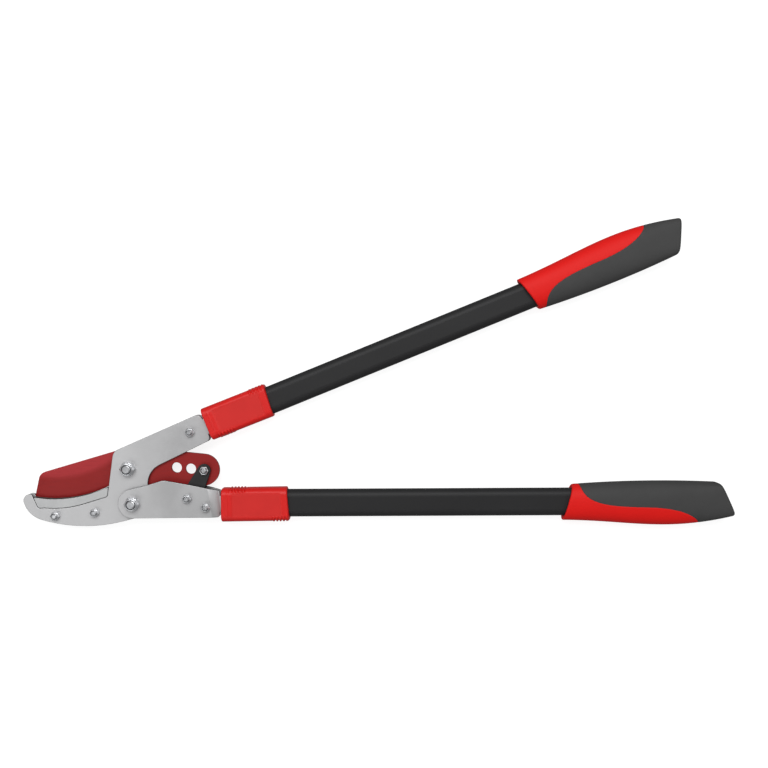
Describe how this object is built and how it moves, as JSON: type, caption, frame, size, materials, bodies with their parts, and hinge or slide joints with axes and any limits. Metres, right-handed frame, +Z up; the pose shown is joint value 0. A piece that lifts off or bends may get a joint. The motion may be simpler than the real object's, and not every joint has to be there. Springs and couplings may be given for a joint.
{
  "type": "anvil lopper",
  "caption": "Long-handled anvil lopper with a compound linkage: a curved blade closes on a metal anvil held in a hooked jaw, worked by two oval tube handles.",
  "frame": {"origin": "on the axis of the handle pivot, at the rear face of its bolt head, on the plane the tool lies on", "axes": "+X along the lower handle towards its grip, +Y towards the upper handle, +Z up, along every pivot axis towards the nuts"},
  "size_m": [0.7092, 0.3052, 0.0319],
  "materials": {
    "plate_steel": "satin, fine grain",
    "anvil_alloy": "die cast, satin",
    "blade_coating": "dark red low-friction coating",
    "link_paint": "black, satin",
    "collar_plastic": "moulded, satin",
    "grip_red": "moulded, satin",
    "grip_dark": "soft, matt",
    "tube_paint": "black powder coat, satin",
    "inner_plastic": "plain",
    "slip_washer": "plain",
    "zinc": "zinc plated"
  },
  "bodies": {
    "upper_arm": {"anvil_plate_front": "plate_steel", "anvil_plate_rear": "plate_steel", "anvil": "anvil_alloy", "anvil_screws": "zinc", "anvil_nuts": "zinc", "blade_pivot_bolt": "zinc", "blade_pivot_nut": "zinc", "blade_pivot_sleeve": "zinc", "blade_slip_washers": "slip_washer", "handle_pivot_bolt": "zinc", "handle_pivot_nut": "zinc", "handle_pivot_sleeve": "zinc", "upper_arm_bolt": "zinc", "upper_arm_nut": "zinc", "upper_arm_spacer": "zinc", "upper_tube": "tube_paint", "upper_collar": "collar_plastic", "upper_tang_filler": "inner_plastic", "upper_tang_rivets": "zinc", "upper_grip_body": "grip_dark", "upper_grip_cover": "grip_red", "upper_tube_plug": "inner_plastic"},
    "blade": {"blade": "blade_coating", "link_pin_bush": "zinc", "link_pin_bolt": "zinc", "link_pin_nut": "zinc"},
    "link": {"link_front": "link_paint", "link_rear": "link_paint"},
    "lower_arm": {"lower_plate_front": "plate_steel", "lower_plate_rear": "plate_steel", "link_anchor_bolt": "zinc", "link_anchor_nut": "zinc", "link_anchor_spacer": "zinc", "lower_arm_bolt": "zinc", "lower_arm_nut": "zinc", "lower_arm_spacer": "zinc", "lower_tube": "tube_paint", "lower_collar": "collar_plastic", "lower_tang_filler": "inner_plastic", "lower_tang_rivets": "zinc", "lower_grip_body": "grip_dark", "lower_grip_cover": "grip_red", "lower_tube_plug": "inner_plastic"}
  },
  "joints": [
    {"name": "handle_open", "type": "hinge", "parent": "upper_arm", "child": "lower_arm", "pos_m": [0, 0, 0.0141], "axis": [0, 0, -1], "range_deg": [0, 60]},
    {"name": "blade_open", "type": "hinge", "parent": "upper_arm", "child": "blade", "pos_m": [-0.0048, 0.0346, 0.0141], "axis": [0, 0, -1], "range_deg": [0, 43]},
    {"name": "link_swing", "type": "hinge", "parent": "blade", "child": "link", "pos_m": [0.0712, 0.0326, 0.0141], "axis": [0, 0, 1], "range_deg": [0, 43]}
  ],
  "couplings": [
    {"joint": "blade_open", "follows": "handle_open", "ratio": 0.71},
    {"joint": "link_swing", "follows": "handle_open", "ratio": 0.693}
  ]
}
